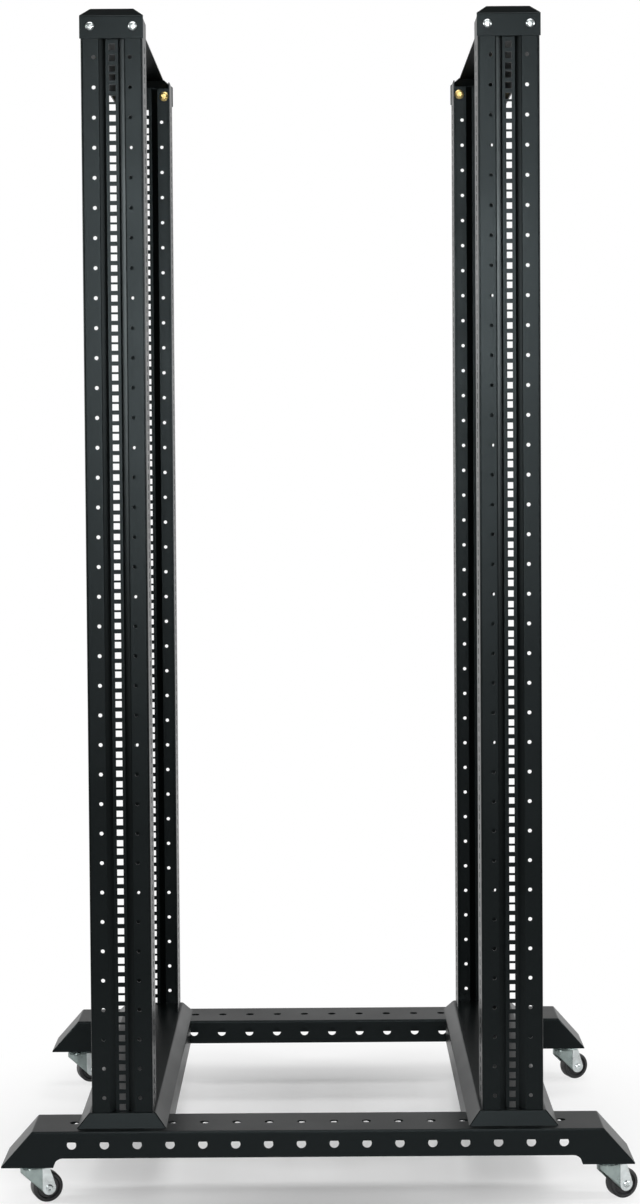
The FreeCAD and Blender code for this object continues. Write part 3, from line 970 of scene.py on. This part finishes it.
def wheel_part(caster, radius, half_width):
    """Wheel about Z: a hub, a recessed web and a rim whose tread edges are rounded."""
    clearance, recess, edge = 0.1 * MM, 3 * MM, caster.tread_round
    bore = caster.axle / 2 + clearance
    hub, rim, web = 7 * MM, radius - 7 * MM, half_width - recess
    swing = np.linspace(0, FULL_TURN / 4, QUARTER_POINTS)
    tread = np.stack([radius - edge * (1 - np.sin(swing)), half_width - edge * (1 - np.cos(swing))],
                     axis=1)
    side = np.array([[bore, half_width], [hub, half_width],
                     [hub + 0.6 * MM, half_width - 0.6 * MM], [hub + 1.2 * MM, web],
                     [rim, web], [rim + MM, half_width - 0.8 * MM], [rim + 1.6 * MM, half_width]])
    half = np.concatenate([side, tread])
    profile = np.concatenate([half, half[::-1] * np.array([1, -1]), half[:1]])
    return turned(profile, WHEEL_SEGMENTS)


class RACK_OT_caster_wheels(bpy.types.Operator):
    """Turn the four wheels"""
    bl_idname = "rack.caster_wheels"
    bl_label = "Caster wheels"

    def execute(self, context):
        caster = context.scene.rack_casters
        for corner, (_, wheel, trail) in caster_places().items():
            part = wheel_part(caster, wheel[2], WHEEL_HALF_WIDTH)
            part = turned_to(part, trail, UP, wheel)
            add_piece(corner + "_tyre", part, "Black tyre", corner + "_roller",
                      [corner + "_caster_wheel"], smooth_angle=30)
        return {"FINISHED"}


# Finishes


def new_finish(name):
    """Empty material with its node tree, shader and object coordinates."""
    material = bpy.data.materials.new(name)
    material.use_nodes = True
    nodes = material.node_tree.nodes
    shader = nodes["Principled BSDF"]
    place = nodes.new("ShaderNodeTexCoord")
    return material.node_tree, shader, place.outputs["Object"]


def add_node(tree, kind, values=None, links=None, **options):
    """Node of a kind with options, socket values, and links from other sockets into its own."""
    node = tree.nodes.new("ShaderNode" + kind)
    for option, value in options.items():
        setattr(node, option, value)
    for socket, value in (values or {}).items():
        node.inputs[socket].default_value = value
    for socket, source in (links or {}).items():
        tree.links.new(source, node.inputs[socket])
    return node


def noise(tree, place, scale, detail):
    """Noise texture on object coordinates."""
    node = add_node(tree, "TexNoise", {"Scale": scale, "Detail": detail}, {"Vector": place})
    return node.outputs["Fac"]


def spread(tree, value, low, high):
    """Noise value stretched from its usual middle range to a new range."""
    values = {"From Min": 0.3, "From Max": 0.7, "To Min": low, "To Max": high}
    return add_node(tree, "MapRange", values, {"Value": value}).outputs["Result"]


def blend_colours(tree, share, dark, light):
    """Colour between two, by a share."""
    values = {"A": (*dark, 1), "B": (*light, 1)}
    return add_node(tree, "Mix", values, {"Factor": share}, data_type="RGBA").outputs["Result"]


def grain(tree, shader, height, depth, strength):
    """Bump from a height value on the shader's normal."""
    node = add_node(tree, "Bump", {"Strength": strength, "Distance": depth}, {"Height": height})
    tree.links.new(node.outputs["Normal"], shader.inputs["Normal"])


def mottle(tree, shader, share, tone, dark, light):
    """Base colour that a noise value blends between a darker and a lighter form of a tone."""
    ends = [[min(1.0, channel * factor) for channel in tone] for factor in (dark, light)]
    mottled = blend_colours(tree, spread(tree, share, 0, 1), *ends)
    tree.links.new(mottled, shader.inputs["Base Color"])


def uneven_gloss(tree, shader, share, low, high):
    """Roughness that a noise value moves between two values."""
    tree.links.new(spread(tree, share, low, high), shader.inputs["Roughness"])


class RACK_OT_finishes(bpy.types.Operator):
    """Mix the powder coat, zinc and tyre finishes"""
    bl_idname = "rack.finishes"
    bl_label = "Finishes"

    def execute(self, context):
        finish = context.scene.rack_finish
        tree, shader, place = new_finish("Powder coat")
        fine = noise(tree, place, scale=900, detail=2)
        cloud = noise(tree, place, scale=7, detail=3)
        mottle(tree, shader, fine, finish.coat, dark=0.75, light=1.3)
        uneven_gloss(tree, shader, cloud, low=0.31, high=0.37)
        shader.inputs["Specular IOR Level"].default_value = 0.16
        shader.inputs["Specular Tint"].default_value = (0.8, 0.96, 1, 1)
        grain(tree, shader, fine, depth=0.2 * MM, strength=0.35)

        # The second zinc is the first one made darker, and paints shade onto the forks
        for name, tone in (("Zinc plate", finish.zinc), ("Dull zinc", finish.shade_darkened_zinc)):
            tree, shader, place = new_finish(name)
            cloud = noise(tree, place, scale=60, detail=4)
            fine = noise(tree, place, scale=700, detail=2)
            mottle(tree, shader, cloud, tone, dark=0.8, light=1.15)
            uneven_gloss(tree, shader, cloud, low=0.24, high=0.36)
            shader.inputs["Metallic"].default_value = 1
            grain(tree, shader, fine, depth=0.1 * MM, strength=0.15)

        tree, shader, place = new_finish("Yellow zinc")
        cloud = noise(tree, place, scale=120, detail=3)
        mottle(tree, shader, cloud, finish.yellow, dark=0.8, light=1.2)
        uneven_gloss(tree, shader, cloud, low=0.3, high=0.42)
        shader.inputs["Metallic"].default_value = 1

        tree, shader, place = new_finish("Black tyre")
        fine = noise(tree, place, scale=500, detail=3)
        mottle(tree, shader, fine, finish.tyre, dark=0.8, light=1.25)
        uneven_gloss(tree, shader, fine, low=0.38, high=0.5)
        grain(tree, shader, fine, depth=0.2 * MM, strength=0.2)
        return {"FINISHED"}


# Stage


def add_looking(name, data, place, right, up, forward):
    """Lamp or camera at a place, which looks forward along its own -Z."""
    thing = bpy.data.objects.new(name, data)
    bpy.context.scene.collection.objects.link(thing)
    axes = Matrix(np.column_stack([right, up, -forward]).tolist())
    thing.matrix_world = Matrix.Translation(place) @ axes.to_4x4()
    return thing


def add_lamp(name, place, target, size, power):
    """Rectangular area lamp that looks from a place to a target."""
    data = bpy.data.lights.new(name, "AREA")
    data.shape = "RECTANGLE"
    data.size, data.size_y = size
    data.energy = power
    forward = np.asarray(target, float) - np.asarray(place, float)
    forward /= np.linalg.norm(forward)
    right = np.cross(forward, UP)
    right /= np.linalg.norm(right)
    add_looking(name, data, place, right, np.cross(right, forward), forward)


def add_camera(stage):
    """Camera whose axes follow from its yaw, pitch and roll."""
    yaw, pitch, roll = (math.radians(angle) for angle in (stage.yaw, stage.pitch, stage.roll))
    ahead = np.array([math.sin(yaw), math.cos(yaw), 0])
    forward = ahead * math.cos(pitch) - UP * math.sin(pitch)
    right = np.array([math.cos(yaw), -math.sin(yaw), 0])
    up = np.cross(right, forward)
    leaned_right = math.cos(roll) * right + math.sin(roll) * up
    leaned_up = math.cos(roll) * up - math.sin(roll) * right
    data = bpy.data.cameras.new("Camera")
    data.sensor_fit = "AUTO"
    data.sensor_width = SENSOR
    data.lens = stage.focal * SENSOR / PICTURE_HEIGHT
    data.shift_y = stage.shift / PICTURE_HEIGHT
    bpy.context.scene.camera = add_looking("Camera", data, stage.place, leaned_right, leaned_up,
                                           forward)


def joined(tree, operation, first, second):
    """Result of a two-value operation."""
    node = add_node(tree, "Math", links={0: first, 1: second}, operation=operation)
    return node.outputs["Value"]


def white_share(tree, gloss_share):
    """One for rays from the camera and through glass, a share for gloss, and zero for the rest."""
    path = tree.nodes.new("ShaderNodeLightPath").outputs
    gloss = joined(tree, "MULTIPLY", path["Is Glossy Ray"], gloss_share)
    seen = joined(tree, "MAXIMUM", path["Is Camera Ray"], path["Is Transmission Ray"])
    return joined(tree, "MAXIMUM", seen, gloss)


def smooth_fade(tree, value, start, end):
    """Smooth step from zero at the start value to one at the end value."""
    node = add_node(tree, "MapRange", {"From Min": start, "From Max": end}, {"Value": value},
                    interpolation_type="SMOOTHSTEP")
    return node.outputs["Result"]


def backdrop_share(tree):
    """One towards the white backdrop behind the rack, zero towards the room in front and above."""
    direction = add_node(tree, "TexCoord").outputs["Generated"]
    axes = add_node(tree, "SeparateXYZ", links={"Vector": direction}).outputs
    behind = smooth_fade(tree, axes["Y"], *BACKDROP_Y)
    below = smooth_fade(tree, axes["Z"], *BACKDROP_Z)
    return joined(tree, "MULTIPLY", behind, below)


def mix_surface(tree, share, first, second, output):
    """Surface of an output node, mixed from two shaders by a share of the second."""
    mix = add_node(tree, "MixShader", links={"Fac": share, 1: first, 2: second})
    tree.links.new(mix.outputs["Shader"], tree.nodes[output].inputs["Surface"])


def add_world(scene, stage):
    """Dim light from all round, which is seen and mirrored as a white backdrop."""
    world = bpy.data.worlds.new("Studio")
    world.use_nodes = True
    scene.world = world
    tree = world.node_tree
    ambient = tree.nodes["Background"]
    ambient.inputs["Color"].default_value = WHITE
    ambient.inputs["Strength"].default_value = stage.ambient
    white = add_node(tree, "Background", {"Color": WHITE})
    mix_surface(tree, white_share(tree, backdrop_share(tree)), ambient.outputs["Background"],
                white.outputs["Background"], "World Output")


def add_floor(scene, stage):
    """Pale floor, which keeps the shadow under the rack and is seen as white further out."""
    corner = np.array([[-1, -1, 0], [1, -1, 0], [1, 1, 0], [-1, 1, 0]]) * FLOOR_REACH
    mesh = bpy.data.meshes.new("floor")
    mesh.from_pydata(corner.tolist(), [], [(0, 1, 2, 3)])
    floor = bpy.data.objects.new("floor", mesh)
    scene.collection.objects.link(floor)
    tree, shader, place = new_finish("Floor")
    mesh.materials.append(bpy.data.materials["Floor"])
    shader.inputs["Roughness"].default_value = FLOOR_ROUGHNESS
    away = add_node(tree, "VectorMath", links={0: place}, operation="LENGTH").outputs["Value"]
    axes = add_node(tree, "SeparateXYZ", links={"Vector": place}).outputs
    behind = smooth_fade(tree, axes["Y"], *BEHIND_EDGE)
    share = joined(tree, "MULTIPLY", smooth_fade(tree, away, *SHADOW_EDGE),
                   white_share(tree, behind))
    far = smooth_fade(tree, away, *PALE_EDGE)
    tone = blend_colours(tree, far, stage.floor, stage.far_floor)
    tree.links.new(tone, shader.inputs["Base Color"])
    mix_surface(tree, share, shader.outputs["BSDF"],
                add_node(tree, "Emission").outputs["Emission"], "Material Output")


class RACK_OT_stage(bpy.types.Operator):
    """Set up the floor, the lamps, the world and the camera"""
    bl_idname = "rack.stage"
    bl_label = "Stage"

    def execute(self, context):
        scene = context.scene
        stage = scene.rack_stage
        scene.view_settings.view_transform = "Standard"
        add_world(scene, stage)
        add_floor(scene, stage)
        middle = [0, 0, 0.9]
        add_lamp("Key", [0, -4.2, 1.6], middle, (0.6, 1.1), stage.key)
        add_lamp("Top", [0, -1.2, 3.6], [0, -0.3, 0], (2.4, 1.2), stage.top)
        add_lamp("Left", [-3.0, -0.7, 1.6], middle, (0.4, 0.8), stage.side)
        add_lamp("Right", [3.0, -0.7, 1.6], middle, (0.4, 0.8), stage.side)
        add_lamp("Back", [0.6, 2.6, 3.6], middle, (2.0, 1.0), stage.back)
        add_camera(stage)
        return {"FINISHED"}


class RACK_PT_panel(bpy.types.Panel):
    """Lists the rack's pieces and settings"""
    bl_idname = "RACK_PT_panel"
    bl_label = "Open frame rack"
    bl_space_type = "VIEW_3D"
    bl_region_type = "UI"
    bl_category = "Rack"

    def draw(self, context):
        for operator in OPERATORS:
            self.layout.operator(operator.bl_idname)
        for name in SETTINGS:
            box = self.layout.box()
            group = getattr(context.scene, name)
            for field in group.bl_rna.properties:
                if field.identifier not in ("name", "rna_type"):
                    box.prop(group, field.identifier)


OPERATORS = [
    RACK_OT_finishes, RACK_OT_posts, RACK_OT_beams, RACK_OT_trays, RACK_OT_straps,
    RACK_OT_strap_screws, RACK_OT_caster_plates, RACK_OT_caster_forks, RACK_OT_caster_wheels,
    RACK_OT_stage,
]
SETTINGS = {
    "rack_posts": RackPostSettings, "rack_base": RackBaseSettings,
    "rack_casters": RackCasterSettings, "rack_finish": RackFinishSettings,
    "rack_stage": RackStageSettings,
}


def register():
    """Registers the settings, the operators and the panel."""
    for name, group in SETTINGS.items():
        bpy.utils.register_class(group)
        setattr(bpy.types.Scene, name, PointerProperty(type=group))
    for cls in OPERATORS + [RACK_PT_panel]:
        bpy.utils.register_class(cls)


def unregister():
    """Removes what register added."""
    for cls in [RACK_PT_panel] + OPERATORS[::-1]:
        bpy.utils.unregister_class(cls)
    for name, group in SETTINGS.items():
        delattr(bpy.types.Scene, name)
        bpy.utils.unregister_class(group)


def main():
    register()
    for operator in OPERATORS:
        family, action = operator.bl_idname.split(".")
        getattr(getattr(bpy.ops, family), action)()
    bpy.context.view_layer.update()


if __name__ == "__main__":
    main()
